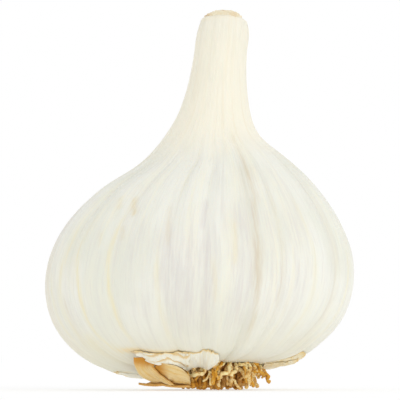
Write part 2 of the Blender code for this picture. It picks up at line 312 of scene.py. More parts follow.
def skin_point(turn, reach, lift=0.0):
    """A point of the skin, or off it by lift, for turns in radians."""
    turn, reach, lift = np.broadcast_arrays(turn, reach, lift)
    inner = np.clip(reach, SMALL_STEP, FULL_REACH - 3 * SMALL_STEP)
    along = bare_skin(turn, inner + 2 * SMALL_STEP) - bare_skin(turn, inner)
    around = bare_skin(turn + SMALL_STEP, inner) - bare_skin(turn - SMALL_STEP, inner)
    normal = np.cross(around, along)
    normal /= np.linalg.norm(normal, axis=-1, keepdims=True)
    return bare_skin(turn, reach) + normal * (lift + skin_relief(turn, reach))[..., None]


belly_front = skin_point(0.0, 0.4 * FULL_REACH)
print("the belly's front, mm:", [round(float(side) / MM, 1) for side in belly_front])

# %% [markdown]
# ## The wrapped bulb
# The skin is one closed surface that ends in a short blind hole at the cut neck, where the dried stalk
# stands. A flat grid has even rows and columns already. Each of its points is carried to its place on
# the skin, and merging the doubled points then joins the seam and both ends. The columns run along the
# pleats as the real fibres do, so a furrow never cuts across a face. Spinning a profile would give the
# same faces, but takes twenty times as long for so many columns.

# %% Roll a grid round the bulb
NECK_HOLE_MM = (
    (0.1, 67.15, 8.3, 66.75),
    (0.3, 67.0, 8.05, 66.6),
    (0.3, 63.6, 8.05, 63.6),
    (4.2, 63.6, 4.2, 63.6),
)
RIM_RISE_MM, RIM_FALL_MM, RIM_UNEVEN_MM = 1.0, 0.25, 0.14
RIM_BAND = 6 * MM
COLUMNS_PER_CLOVE = 24
COLUMNS = COLUMNS_PER_CLOVE * len(FURROWS)
SKIN_ROWS = 232


def column_turn(column):
    """The turn, in radians, of a column counted from the first furrow, evenly within each clove."""
    return np.interp(column / COLUMNS_PER_CLOVE, range(len(FURROW_TURNS)), FURROW_TURNS)


def rim_height(turn):
    """How far the cut rim stands above its plane: most at the front and the back, and unevenly."""
    uneven = RIM_UNEVEN_MM * noise_at(3 * np.sin(turn), 3 * np.cos(turn), 5)
    return (uneven + RIM_RISE_MM * np.abs(np.cos(turn)) ** 0.7 - RIM_FALL_MM) * MM


def move_points(bm, places):
    """Puts each point of a mesh at its place in a list."""
    for vert, place in zip(bm.verts, places):
        vert.co = place


def lay_on_skin(bm):
    """Moves the grid's points to the skin, and returns each point's turn and reach."""
    hole = np.array(NECK_HOLE_MM) * MM
    places = np.array([vert.co for vert in bm.verts])
    column = np.round((places[:, 0] + 0.5) * COLUMNS) % COLUMNS
    row = np.round((places[:, 1] + 0.5) * (SKIN_ROWS + len(hole) - 1)).astype(int)
    turn = column_turn(column)
    reach = np.clip(row / (SKIN_ROWS - 1), 0, 1) * FULL_REACH
    at = skin_point(turn, reach)
    inside = row >= SKIN_ROWS
    at[inside] = ring_point(hole[row[inside] - SKIN_ROWS], 0.0, turn[inside])
    near_rim = smooth_step(reach, FULL_REACH - RIM_BAND, FULL_REACH) * (row < SKIN_ROWS + 2)
    at[:, 2] += rim_height(turn) * near_rim
    move_points(bm, at)
    return turn, reach


tube = bmesh.new()
rows_in_all = SKIN_ROWS + len(NECK_HOLE_MM)
bmesh.ops.create_grid(tube, x_segments=COLUMNS, y_segments=rows_in_all - 1, size=0.5)
skin_turn, skin_reach = lay_on_skin(tube)
print("tube of", len(tube.verts), "points laid on the bulb")

# %% [markdown]
# ## Where the colours lie
# The skin is nearly white, and what makes it look like skin is a set of faint marks along its length:
# a tan line over the deepest furrow, cream lines over the edges of layers, grey violet streaks in the
# middle, and a few brown specks on the shoulder. Each is listed as a line of turns and reaches with a
# width, and stored on the mesh as an attribute, which a material can read. Painting an image would
# need a picture of the bulb, and this way needs only numbers.

# %% Marks on the skin
# Each mark: turns, reaches in mm, half width in mm, strength
TAN_MARKS = (
    ((24, 23.5, 23.2, 21.7, 21.2, 21.5, 22.7, 23.5, 23.5), (20, 22, 27, 34, 38, 44, 52, 62, 72), 0.45, 0.75),
    ((21.7, 21.5), (33, 45), 0.9, 0.55),
    ((23, 25), (50, 62), 1.5, 0.3),
    ((31.5, 32), (24, 58), 0.5, 0.35),
    ((-12, -14.5), (43, 52), 0.5, 0.2),
    ((61, 63), (16, 56), 0.6, 0.3),
    ((46, 60, 74), (22, 21, 22), 1.8, 0.3),
    ((-65.5, -62, -61, -62), (22, 26, 30, 35), 0.5, 0.4),
    ((104, 106), (16, 60), 0.7, 0.5),
    ((157, 155), (14, 62), 0.6, 0.7),
    ((182, 183), (14, 64), 0.8, 0.6),
    ((207, 205), (14, 60), 0.6, 0.5),
    ((232, 234), (16, 58), 0.5, 0.6),
    ((257, 255), (16, 56), 0.6, 0.4),
)
CREAM_MARKS = (
    ((-46.5, -46.5, -48.5, -49.5, -49, -49.5, -52.5, -50), (18, 22, 25, 28, 31, 35, 42, 50), 0.55, 1.0),
    ((-34.5, -33, -34, -34, -35, -36, -34), (19, 23, 26, 30, 34, 42, 52), 0.4, 1.0),
    ((-48, -45, -42), (22.5, 21, 19.5), 1.3, 0.8),
    ((-13, -14, -15.5, -16), (21, 28, 35, 42), 0.4, 0.6),
    ((12.5, 13), (38, 48), 0.5, 0.7),
    ((7, 4), (30, 41), 0.5, 0.5),
    ((-62, -64, -60), (16, 34, 50), 0.7, 0.6),
    ((-70, -72), (14, 40), 0.7, 0.5),
    ((-50, -60), (14, 26), 3.0, 0.85),
    ((-80, -88, -88), (14, 30, 48), 5.0, 0.6),
    ((45, 47, 44), (18, 36, 54), 0.5, 0.45),
    ((70, 71), (18, 44), 0.6, 0.5),
    ((120, 122), (14, 50), 0.6, 0.7),
    ((145, 142), (16, 54), 0.7, 0.5),
    ((168, 170), (14, 50), 0.5, 0.7),
    ((194, 195), (16, 52), 0.5, 0.6),
    ((220, 222), (14, 48), 0.6, 0.6),
    ((245, 243), (14, 50), 0.6, 0.5),
)
VIOLET_MARKS = (
    ((1.5, 3, 2), (22, 31, 47), 1.5, 0.9),
    ((-3, -4, -4), (22, 34, 48), 1.7, 0.7),
    ((-8, -10, -11), (22, 34, 48), 2.3, 0.7),
    ((0.5, 1.0), (45, 53), 0.6, 0.9),
    ((-22, -24), (26, 48), 2.0, 0.3),
    ((-84, -86, -88), (20, 34, 54), 4.0, 0.65),
    ((16.5, 17, 18), (22, 36, 54), 2.7, 0.75),
    ((26.5, 27.5), (24, 52), 1.5, 0.4),
    ((31, 28), (30, 40), 0.4, 0.5),
    ((33, 30), (30, 40), 0.4, 0.5),
    ((38, 40), (26, 52), 2.4, 0.35),
    ((92, 94), (26, 50), 2.0, 0.4),
    ((140, 138), (24, 48), 1.8, 0.5),
    ((188, 190), (26, 52), 2.0, 0.6),
    ((214, 212), (24, 46), 1.6, 0.5),
    ((266, 264), (26, 46), 1.8, 0.4),
)
BROWN_MARKS = (
    ((-29, -32, -36), (49.0, 51, 54), 0.55, 0.9),
    ((-39, -44), (50.5, 54), 0.5, 0.5),
    ((-40.5, -43), (43, 46), 0.45, 0.3),
    ((-31, -33.5), (44, 47.5), 0.45, 0.35),
    ((-12, -15), (42, 52), 0.4, 0.22),
    ((-80, -74), (64, 67), 0.9, 0.7),
    ((21, 27), (68, 71.5), 0.45, 0.5),
    ((70, 74), (60, 64), 0.6, 0.4),
    ((126, 128), (48, 51), 0.5, 0.7),
    ((176, 172), (56, 60), 0.5, 0.7),
    ((204, 201), (44, 47), 0.4, 0.6),
    ((-140, -143), (50, 52), 0.45, 0.6),
)
# Where the outermost skin tore off, and the cut rim: the same four numbers, but lines that run round
TORN_MARKS = (
    ((-46, -38, -33, -27, -21, -14, -6), (20.8, 19.9, 19.2, 19.0, 18.5, 18.1, 18.1), 0.7, 1.8),
    ((-6, -1, 6, 11), (18.5, 17.5, 18.3, 16.5), 0.4, 0.8),
    ((12, 24, 40, 58), (12.0, 11.8, 12.4, 13.4), 0.45, 0.9),
    ((66, 70, 76, 82), (13.4, 16.2, 18.3, 19.8), 0.25, 0.9),
    ((82, 92, 116), (20.0, 18.4, 15.8), 0.3, 0.8),
    ((-78, -92, -108, -124), (12, 15.4, 15.2, 13.2), 0.4, 1.2),
    ((126, 154, 190, 220), (14.2, 17.6, 15.4, 17.0), 0.4, 0.9),
    ((-100, -50, 0, 45), (92.3, 92.3, 92.4, 92.4), 0.3, 0.9),
)

# %% [markdown]
# ## How strongly a mark shows
# A mark fades out to both sides over its half width and tapers off at both ends. Each point of the
# skin takes its strength from the nearest stretch of the line. One more attribute, the grain, holds
# the turn as a point on a circle, so noise that reads it runs along the skin and has no seam.

# %% Store the marks on the skin
BELLY_RADIUS_MM = 28
DEEP_FURROW = 0.8 * MM
TINY = 1e-12


def mark_strength(marks, turn, reach):
    """How strongly a set of marks shows at each place of the skin, from its distance to their lines."""
    total = np.zeros(len(turn))
    radius = skin_radius(reach)
    for turns, reaches, half_width, strength in marks:
        line_turns, line_reaches = np.radians(turns), np.array(reaches) * MM
        nearest = np.full(len(turn), np.inf)
        place = np.zeros(len(turn))
        for i in range(len(turns) - 1):
            run = (turn_gap(line_turns[i + 1], line_turns[i]) * radius, line_reaches[i + 1] - line_reaches[i])
            off = (turn_gap(turn, line_turns[i]) * radius, reach - line_reaches[i])
            square = run[0] ** 2 + run[1] ** 2 + TINY
            share = np.clip((off[0] * run[0] + off[1] * run[1]) / square, 0, 1)
            distance = np.hypot(off[0] - share * run[0], off[1] - share * run[1])
            place = np.where(distance < nearest, (i + share) / (len(turns) - 1), place)
            nearest = np.minimum(nearest, distance)
        taper = rise_and_fall(place, -0.05, 0.2, 0.8, 1.05)
        total = np.maximum(total, strength * taper * np.exp(-((nearest / (half_width * MM)) ** 2)))
    return total


def store(bm, name, values):
    """Keeps one number for each point of a mesh under a name that materials can read."""
    layer = bm.verts.layers.float.new(name)
    for vert, value in zip(bm.verts, values):
        vert[layer] = value


MARKS = {"tan": TAN_MARKS, "cream": CREAM_MARKS, "violet": VIOLET_MARKS}
MARKS |= {"brown": BROWN_MARKS, "torn": TORN_MARKS}
skin_marks = {name: mark_strength(marks, skin_turn, skin_reach) for name, marks in MARKS.items()}
skin_marks["furrow"] = np.clip(furrow_depth(skin_turn, skin_reach) / DEEP_FURROW, 0, 1) ** 2
skin_marks["height"] = skin_reach / FULL_REACH
for mark_name, mark_values in skin_marks.items():
    store(tube, mark_name, mark_values)
    print(mark_name, "covers", round(float((mark_values > 0.3).mean()) * 100, 1), "% of the points")

grain = tube.verts.layers.float_vector.new("grain")
for point, angle, distance in zip(tube.verts, skin_turn, skin_reach):
    point[grain] = (math.sin(angle), math.cos(angle), distance / MM / BELLY_RADIUS_MM)

# %% [markdown]
# ## Small helpers for materials
# Every finish here is a short chain of nodes that ends in a Principled shader: noise stretched along
# the grain, a remap of its range, and a mix of two colours. The helpers below make one node each, so
# a material reads as a list of what changes the colour. A value that is the same all over is set on
# the shader itself.

# %% Node helpers
def start_material(name, **constants):
    """A material with its constant values set on the Principled shader."""
    made = bpy.data.materials.new(name)
    made.use_nodes = True
    shader = made.node_tree.nodes["Principled BSDF"]
    for socket, value in constants.items():
        shader.inputs[socket.replace("_", " ").title().replace("Ior", "IOR")].default_value = value
    return made, made.node_tree, shader


def read(tree, name, output="Fac"):
    node = tree.nodes.new("ShaderNodeAttribute")
    node.attribute_name = name
    return node.outputs[output]


def stretch(tree, vector, scale):
    """Scales coordinates, which draws a pattern out where the scale is small."""
    node = tree.nodes.new("ShaderNodeMapping")
    node.inputs["Scale"].default_value = scale
    tree.links.new(vector, node.inputs["Vector"])
    return node.outputs["Vector"]


def cloud(tree, vector, scale, detail=3.0, roughness=0.5):
    node = tree.nodes.new("ShaderNodeTexNoise")
    node.inputs["Scale"].default_value = scale
    node.inputs["Detail"].default_value = detail
    node.inputs["Roughness"].default_value = roughness
    tree.links.new(vector, node.inputs["Vector"])
    return node.outputs["Fac"]


def remap(tree, value, low, high, to_low=0.0, to_high=1.0):
    node = tree.nodes.new("ShaderNodeMapRange")
    node.interpolation_type = "SMOOTHSTEP"
    for socket, number in zip(list(node.inputs)[1:5], (low, high, to_low, to_high)):
        socket.default_value = number
    tree.links.new(value, node.inputs["Value"])
    return node.outputs["Result"]


def combine(tree, operation, first, second):
    """Arithmetic on two values, of which the second may be a plain number."""
    node = tree.nodes.new("ShaderNodeMath")
    node.operation = operation
    tree.links.new(first, node.inputs[0])
    if isinstance(second, (int, float)):
        node.inputs[1].default_value = second
    else:
        tree.links.new(second, node.inputs[1])
    return node.outputs[0]


def tint(tree, share, below, above):
    """Goes from one colour to the other as share goes from 0 to 1. Each colour may be a node's output."""
    node = tree.nodes.new("ShaderNodeMix")
    node.data_type = "RGBA"
    tree.links.new(share, node.inputs[0])
    for socket, colour in ((node.inputs[6], below), (node.inputs[7], above)):
        if isinstance(colour, tuple):
            socket.default_value = (*colour, 1.0)
        else:
            tree.links.new(colour, socket)
    return node.outputs[2]


def wash(tree, colour, value, ends, most, over):
    """Lays one colour over another as a value goes from end to end, up to the most that it covers."""
    return tint(tree, remap(tree, value, *ends, 0.0, most), colour, over)


def raise_surface(tree, shader, height, distance, strength=1.0):
    node = tree.nodes.new("ShaderNodeBump")
    node.inputs["Distance"].default_value = distance
    node.inputs["Strength"].default_value = strength
    tree.links.new(height, node.inputs["Height"])
    tree.links.new(node.outputs["Normal"], shader.inputs["Normal"])


# %% [markdown]
# ## White papery skin
# Dry garlic skin is a warm white with a faint satin gloss. It lets a little light through, so a small
# amount of subsurface scattering softens the shading. Veins less than half a millimetre apart run
# along it, some paler and some greyer. The neck is creamier than the belly, and the furrows are a
# little darker because two layers of shadow meet there.

# %% The skin's finish
SKIN_WHITE = (0.87, 0.87, 0.79)
SKIN_GREEN = (0.82, 0.825, 0.725)
VEIN_GREY = (0.765, 0.75, 0.69)
VEIN_CREAM = (0.895, 0.87, 0.72)
NECK_CREAM = (0.95, 0.90, 0.75)
NECK_LINE = (0.93, 0.86, 0.69)
TAN_LINE = (0.70, 0.59, 0.41)
CREAM_LINE = (0.88, 0.81, 0.56)
VIOLET_GREY = (0.68, 0.63, 0.62)
BROWN_SPECK = (0.80, 0.69, 0.45)
TORN_BROWN = (0.93, 0.66, 0.24)
FURROW_SHADE = (0.80, 0.76, 0.63)
LOW_SHADE = (0.775, 0.755, 0.625)


def make_skin_finish():
    glow = {"subsurface_weight": 0.15, "subsurface_scale": 0.0015, "subsurface_radius": (1.0, 0.85, 0.7)}
    finish, tree, shader = start_material("white_papery_skin", specular_ior_level=0.3, **glow)
    along = read(tree, "grain", "Vector")
    hair = cloud(tree, stretch(tree, along, (1, 1, 0.07)), 58, detail=3, roughness=0.6)
    veins = cloud(tree, stretch(tree, along, (1, 1, 0.06)), 21, detail=3, roughness=0.55)
    bands = cloud(tree, stretch(tree, along, (1, 1, 0.16)), 7, detail=2)
    patches = cloud(tree, stretch(tree, along, (1, 1, 0.7)), 2.4, detail=2)
    height = read(tree, "height")

    colour = tint(tree, remap(tree, patches, 0.4, 0.62), SKIN_WHITE, SKIN_GREEN)
    for pattern, ends, share, over in (
        (bands, (0.5, 0.68), 0.45, VEIN_CREAM),
        (bands, (0.46, 0.3), 0.3, VEIN_GREY),
        (veins, (0.5, 0.68), 0.45, VEIN_GREY),
        (veins, (0.44, 0.3), 0.6, VEIN_CREAM),
        (hair, (0.5, 0.66), 0.4, VEIN_GREY),
    ):
        colour = wash(tree, colour, pattern, ends, share, over)
    colour = tint(tree, combine(tree, "MULTIPLY", read(tree, "furrow"), 0.3), colour, FURROW_SHADE)
    for mark, over, share in (
        ("cream", CREAM_LINE, 1.0),
        ("violet", VIOLET_GREY, 0.6),
        ("tan", TAN_LINE, 0.8),
        ("brown", BROWN_SPECK, 0.8),
        ("torn", TORN_BROWN, 1.0),
    ):
        broken = remap(tree, hair, 0.34, 0.6, 0.35 * share, share)
        colour = tint(tree, combine(tree, "MULTIPLY", read(tree, mark), broken), colour, over)
    # painted shade: the skin is darkened towards the underside, where less light falls
    colour = wash(tree, colour, height, (0.40, 0.16), 0.62, LOW_SHADE)
    neck_colour = tint(tree, remap(tree, bands, 0.45, 0.62), NECK_CREAM, NECK_LINE)
    neck_colour = tint(tree, remap(tree, veins, 0.42, 0.6), NECK_CREAM, neck_colour)
    colour = wash(tree, colour, height, (0.66, 0.80), 0.85, neck_colour)
    tree.links.new(colour, shader.inputs["Base Color"])
    tree.links.new(remap(tree, hair, 0.3, 0.7, 0.40, 0.56), shader.inputs["Roughness"])
    ridges = combine(tree, "ADD", combine(tree, "MULTIPLY", veins, 1.5), hair)
    raise_surface(tree, shader, ridges, 0.0001, 0.8)
    return finish


skin_finish = make_skin_finish()
print(skin_finish.name, "has", len(skin_finish.node_tree.nodes), "nodes")

# %% [markdown]
# ## From a mesh to a piece
# Every mesh becomes a piece in the same steps. Doubled points are merged before the normals are turned
# outwards, so that the seam is closed first. The piece then gets its finish and hides its solids.

# %% Make the wrapped bulb
MERGE_DISTANCE = 0.001 * MM


def add_object(name, data):
    """Puts an object into the scene, at the origin."""
    made = bpy.data.objects.new(name, data)
    bpy.context.scene.collection.objects.link(made)
    return made


def clean(bm):
    bmesh.ops.remove_doubles(bm, verts=bm.verts, dist=MERGE_DISTANCE)
    bmesh.ops.recalc_face_normals(bm, faces=bm.faces)


def object_from(bm, name, material, slot, *nodes):
    """Turns a bmesh into a piece that rides on the bulb and stands for these solids."""
    clean(bm)
    mesh = bpy.data.meshes.new(name)
    bm.to_mesh(mesh)
    bm.free()
    mesh.shade_smooth()
    mesh.materials.append(material)
    piece = add_object(name, mesh)
    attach(piece, "root")
    if nodes:
        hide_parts(*nodes)
    print(name, len(mesh.polygons), "faces")
    return piece


object_from(tube, "papery_bulb", skin_finish, "white_skin", "wrapped_bulb")

# %% [markdown]
# ## The cut neck
# The stalk was cut when it had dried. Inside the outer skin its own layers stand as thin rings, one in
# the other, each shrunk a little lower than the next one in, so the end is a low tan dome. Each ring is
# spun from a small closed profile. Noise makes its top edge uneven, and pushes all the rings out of
# round together, as they were when the stalk dried.

# %% Shape the rings of the dried stalk
STALK_CENTRE = (4.15 * MM, 0.0)
STALK_FOOT = 64.0 * MM
STALK_RIM = 67.15 * MM
STALK_TOP = 68.95 * MM
CUT_SLOPE = 0.1
RING_RADII_MM = (3.86, 3.42, 2.98, 2.52, 2.08, 1.62, 1.16, 0.7)
RING_WALL = 0.36 * MM
RING_STEPS = 72
RING_EDGE, RING_CREST = 0.07 * MM, 0.05 * MM
# How far a ring's top rises and falls in long waves, in short nicks, and as a whole
WAVE_MM, NICK_MM, SHRINK_MM = 0.2, 0.12, 0.25
WARP, WARP_SIZE = 0.75 * MM, 2.6 * MM


def spin_line(points, steps):
    """A closed surface of revolution about Z, spun from a line of (radius, height) points."""
    bm = bmesh.new()
    line = [bm.verts.new((radius, 0, height)) for radius, height in points]
    edges = [bm.edges.new(pair) for pair in zip(line, line[1:])]
    axis = {"cent": (0, 0, 0), "axis": (0, 0, 1), "angle": math.tau}
    bmesh.ops.spin(bm, geom=line + edges, steps=steps, use_merge=True, **axis)
    return bm


def ring_top(radius):
    """The height of the cut end's dome over a radius."""
    share = radius / (RING_RADII_MM[0] * MM)
    return STALK_RIM + (STALK_TOP - STALK_RIM) * (1 - share * share) ** 0.5


def crush_layers(vert):
    """Pushes the inner layers out of round together, which keeps them from cutting each other."""
    spot = Vector((vert.co.x, vert.co.y, 0)) / WARP_SIZE
    inside = 1 - min(1.0, spot.length * WARP_SIZE / (RING_RADII_MM[0] * MM)) ** 4
    vert.co.x += WARP * inside * noise.noise(spot + Vector((0, 0, 3)))
    vert.co.y += WARP * inside * noise.noise(spot + Vector((0, 0, 8)))
    vert.co.y *= DEPTH_SHARE


def stalk_ring(radius, number):
    """One dried layer of the stalk: a thin upright ring with a rounded, uneven top edge."""
    inner = radius - RING_WALL if radius > 2 * RING_WALL else 0.0
    top = ring_top(radius)
    profile = (
        (inner, STALK_FOOT),
        (radius, STALK_FOOT),
        (radius, (STALK_FOOT + top) / 2),
        (radius, top - RING_EDGE),
        (radius - RING_EDGE, top),
        (inner + RING_EDGE, top + RING_CREST),
        (inner, top - RING_EDGE if inner else top + RING_EDGE),
        (inner, STALK_FOOT),
    )
    ring = spin_line(profile, RING_STEPS)
    clean(ring)
    for vert in ring.verts:
        x, y = vert.co.x / radius, vert.co.y / radius
        upper = max(0.0, min(1.0, (vert.co.z - STALK_FOOT) / (top - STALK_FOOT)))
        uneven = WAVE_MM * noise.noise(Vector((2.5 * x, 2.5 * y, number)))
        uneven += NICK_MM * noise.noise(Vector((8 * x, 8 * y, number + 30)))
        uneven += SHRINK_MM * noise.noise(Vector((1.7 * number, 4, 0)))
        vert.co.z += upper**4 * (uneven * MM + CUT_SLOPE * vert.co.y)
        crush_layers(vert)
    return ring


def add_to(bm, part):
    """Joins one bmesh into another."""
    carrier = bpy.data.meshes.new("carrier")
    part.to_mesh(carrier)
    part.free()
    bm.from_mesh(carrier)
    bpy.data.meshes.remove(carrier)


stalk = bmesh.new()
for ring_number, ring_radius in enumerate(RING_RADII_MM):
    add_to(stalk, stalk_ring(ring_radius * MM, ring_number))
bmesh.ops.translate(stalk, vec=(*STALK_CENTRE, 0), verts=stalk.verts)
print(len(RING_RADII_MM), "rings in the cut neck")

# %% [markdown]
# ## Dried stalk
# The cut layers are straw-coloured with fine upright fibres, and rustier in patches and towards the left
# side.

# %% The stalk's finish
STALK_STRAW = (0.92, 0.80, 0.56)
STALK_CREAM = (0.94, 0.88, 0.69)
STALK_RUST = (0.66, 0.40, 0.16)


def object_place(tree):
    return tree.nodes.new("ShaderNodeTexCoord").outputs["Object"]


def side_of(tree, vector, axis):
    """One side of a vector, 0 for X, 1 for Y and 2 for Z."""
    node = tree.nodes.new("ShaderNodeSeparateXYZ")
    tree.links.new(vector, node.inputs[0])
    return node.outputs[axis]


def make_stalk_finish():
    finish, tree, shader = start_material("dried_stalk", roughness=0.75)
    place = object_place(tree)
    fibre = cloud(tree, stretch(tree, place, (1, 1, 0.12)), 4200, detail=3, roughness=0.6)
    patch = cloud(tree, place, 520, detail=2)
    colour = tint(tree, remap(tree, fibre, 0.35, 0.65), STALK_STRAW, STALK_CREAM)
    left_side = remap(tree, side_of(tree, place, 0), 2.6 * MM, 0.4 * MM)
    rusty = combine(tree, "ADD", remap(tree, patch, 0.5, 0.66, 0.0, 0.5), left_side)
    colour = tint(tree, combine(tree, "MULTIPLY", rusty, 0.6), colour, STALK_RUST)
    tree.links.new(colour, shader.inputs["Base Color"])
    raise_surface(tree, shader, fibre, 0.00008)
    return finish


object_from(stalk, "cut_stalk", make_stalk_finish(), "dry_stalk", "stalk_end")

# %% [markdown]
# ## The root plate and its mat
# The roots grow from a woody disc under the bulb. In its middle the oldest stumps are matted together,
# and the bulb stands on them. The disc is an inset circle given a thickness by an extrusion, and it
# follows the underside through the same turn and reach. The mat is a low cone with a lumpy side.

# %% Plate and mat
PLATE_GAP = 0.06 * MM
PLATE_RADIUS = 9.0 * MM
PLATE_THICKNESS = 0.8 * MM
PLATE_RINGS = 10
KNOB = 0.3 * MM
MAT_TOP, MAT_FOOT = 4.0 * MM, 1.1 * MM
MAT_RADII = (2.6 * MM, 4.4 * MM)
MAT_LUMP = 0.14


def start_tuft():
    """An empty mesh whose points can keep their strand's number and their share of its length."""
    bm = bmesh.new()
    bm.verts.layers.float.new("strand")
    bm.verts.layers.float.new("along")
    return bm


def mark_core(bm):
    """Marks every point as part of the dark core, by a strand number below zero."""
    strand = bm.verts.layers.float["strand"]
    for vert in bm.verts:
        vert[strand] = -1.0


def build_plate():
    """The disc close under the skin's underside, with a knobbly lower face."""
    bm = start_tuft()
    bmesh.ops.create_circle(bm, cap_ends=True, segments=72, radius=PLATE_RADIUS)
    middle = bm.faces[:]
    for _ in range(1, PLATE_RINGS):
        bmesh.ops.inset_region(bm, faces=middle, thickness=PLATE_RADIUS / PLATE_RINGS)
    bmesh.ops.poke(bm, faces=middle)
    top = set(bm.verts)
    bmesh.ops.extrude_face_region(bm, geom=bm.faces[:], use_keep_orig=True)
    for vert in bm.verts:
        turn = math.atan2(vert.co.x, -vert.co.y)
        reach = math.hypot(vert.co.x, vert.co.y)
        knob = KNOB * noise.noise(Vector((vert.co.x, vert.co.y, 0)) * 900)
        lift = PLATE_GAP if vert in top else PLATE_GAP + PLATE_THICKNESS + knob
        vert.co = skin_point(turn, reach, lift)
    mark_core(bm)
    return bm


def build_mat():
    """The lumpy middle that fills the space between the innermost roots."""
    bm = start_tuft()
    cone = {"radius1": MAT_RADII[0], "radius2": MAT_RADII[1], "depth": MAT_TOP - MAT_FOOT}
    bmesh.ops.create_cone(bm, cap_ends=True, cap_tris=True, segments=40, **cone)
    bmesh.ops.subdivide_edges(bm, edges=bm.edges[:], cuts=3, use_grid_fill=True)
    bmesh.ops.translate(bm, vec=(0, 0, (MAT_TOP + MAT_FOOT) / 2), verts=bm.verts)
    for vert in bm.verts:
        lump = noise.noise(vert.co * 700)
        vert.co.x *= 1 + MAT_LUMP * lump
        vert.co.y *= 1 + MAT_LUMP * lump
        vert.co.z += 0.2 * MM * lump if vert.co.z < 3 * MM else 0
    mark_core(bm)
    return bm


tuft_core = (build_plate(), build_mat())
print("plate and mat have", sum(len(bm.verts) for bm in tuft_core), "points")

# %% [markdown]
# ## The cut roots
# About four hundred root stumps stand round the mat. Each one is a small circle swept down its own
# line: the end face is extruded step by step, and every step turns it a little and makes it thicker or
# thinner. The curve tool could sweep them too, but the extrusion lets each ring of points keep the
# strand's number and its share of the length, which the material turns into a colour.

# %% Sweep one root
ROOT_SIDES = 7


def sweep_root(path, radii, strand_value):
    """Extrudes a circle down a path, turning and scaling it at each step."""
    bm = start_tuft()
    strand = bm.verts.layers.float["strand"]
    along = bm.verts.layers.float["along"]
    heading = (path[1] - path[0]).normalized()
    turn = Vector((0, 0, 1)).rotation_difference(heading).to_matrix().to_4x4()
    place = Matrix.Translation(path[0]) @ turn
    bmesh.ops.create_circle(bm, cap_ends=True, segments=ROOT_SIDES, radius=radii[0], matrix=place)
    foot_edges = bm.edges[:]
    end = next(iter(bm.faces))
    for step in range(1, len(path)):
        end = bmesh.ops.extrude_discrete_faces(bm, faces=[end])["faces"][0]
        verts = list(end.verts)
        bmesh.ops.translate(bm, vec=path[step] - path[step - 1], verts=verts)
        after = path[min(step + 1, len(path) - 1)] - path[min(step, len(path) - 2)]
        bend = heading.rotation_difference(after.normalized()).to_matrix().to_4x4()
        heading = after.normalized()
        centre = Matrix.Translation(-path[step])
        bmesh.ops.transform(bm, matrix=bend, space=centre, verts=verts)
        shrink = radii[step] / radii[step - 1]
        bmesh.ops.scale(bm, vec=(shrink,) * 3, space=centre, verts=verts)
        for vert in verts:
            vert[along] = step / (len(path) - 1)
    bmesh.ops.holes_fill(bm, edges=[edge for edge in foot_edges if edge.is_valid])
    bmesh.ops.recalc_face_normals(bm, faces=bm.faces)
    for vert in bm.verts:
        vert[strand] = strand_value
    return bm


# %% [markdown]
# ## How a root runs
# A root leans outwards and then curls down and back. Its line is worked out from an angle that changes
# step by step, with noise for the small kinks of a dried root.

# %% Bend a root and give it its thickness
ROOT_STEPS = 10
ROOT_RADII = (0.2 * MM, 0.39 * MM)
CUT_END = 0.14 * MM


def root_path(start, heading, lean, curl, length, sway, wobble):
    """Points down a root that leaves the plate leaning outwards and curls down and back."""
    points = [Vector(start)]
    for step in range(ROOT_STEPS):
        share = (step + 0.5) / ROOT_STEPS
        bump = 2.0 * noise.noise(Vector((4.5 * share, wobble, 0)))
        angle = lean + (curl - lean) * share**0.8 + bump
        swing = heading + sway * share + 3.2 * noise.noise(Vector((4.5 * share, wobble, 5)))
        outward = Vector((math.sin(swing), -math.cos(swing), 0))
        direction = outward * math.sin(angle) - Vector((0, 0, math.cos(angle)))
        points.append(points[-1] + direction * (length / ROOT_STEPS))
    return points


def keep_off_floor(points, radius, foot):
    """Shortens a root that would reach below its foot height, as the knife did."""
    lowest = min(point.z for point in points) - 0.7 * radius
    if lowest >= foot:
        return points
    room = (points[0].z - foot) / (points[0].z - lowest)
    return [points[0] + (point - points[0]) * room for point in points]


def finish_root(start, heading, lean, curl, length, foot, dice, paleness=None):
    """Gives a root its knobbly thickness and a rounded cut end, and sweeps it."""
    wobble = dice.uniform(0, 50)
    path = root_path(start, heading, lean, curl, length, math.radians(dice.uniform(-60, 60)), wobble)
    thick = dice.uniform(*ROOT_RADII)
    path = keep_off_floor(path, thick, foot)
    radii = [thick * (1 + 0.45 * noise.noise(Vector((0.8 * step, wobble, 9)))) for step in range(len(path))]
    radii[0] *= 1.2
    path.append(path[-1] + (path[-1] - path[-2]).normalized() * CUT_END)
    radii.append(radii[-1] * 0.55)
    return sweep_root(path, radii, dice.random() if paleness is None else paleness)


# %% [markdown]
# ## Where the roots grow
# The stumps at the rim lean out and curl back down, or run sideways, with short pale ones between them
# close under the skin. The others stand on the disc in places that follow the golden angle, which
# spreads points evenly the way a plant does. A seeded dice gives each its lean, length and thickness.

# %% Grow the tuft
RIM_ROOTS = 96
KNUCKLES = 34
DISC_ROOTS = 260
ROOT_SEED = 11
GOLDEN_ANGLE = math.radians(137.508)
FLAP_TURNS = (-120, -26)
SIDEWAYS_SHARE = 0.35
LOWEST_POINT = 0.02 * MM


def behind_flap(turn):
    """Whether a root at this turn stands behind the big flap, which holds it in."""
    degrees = (math.degrees(turn) + 180) % 360 - 180
    return FLAP_TURNS[0] < degrees < FLAP_TURNS[1]


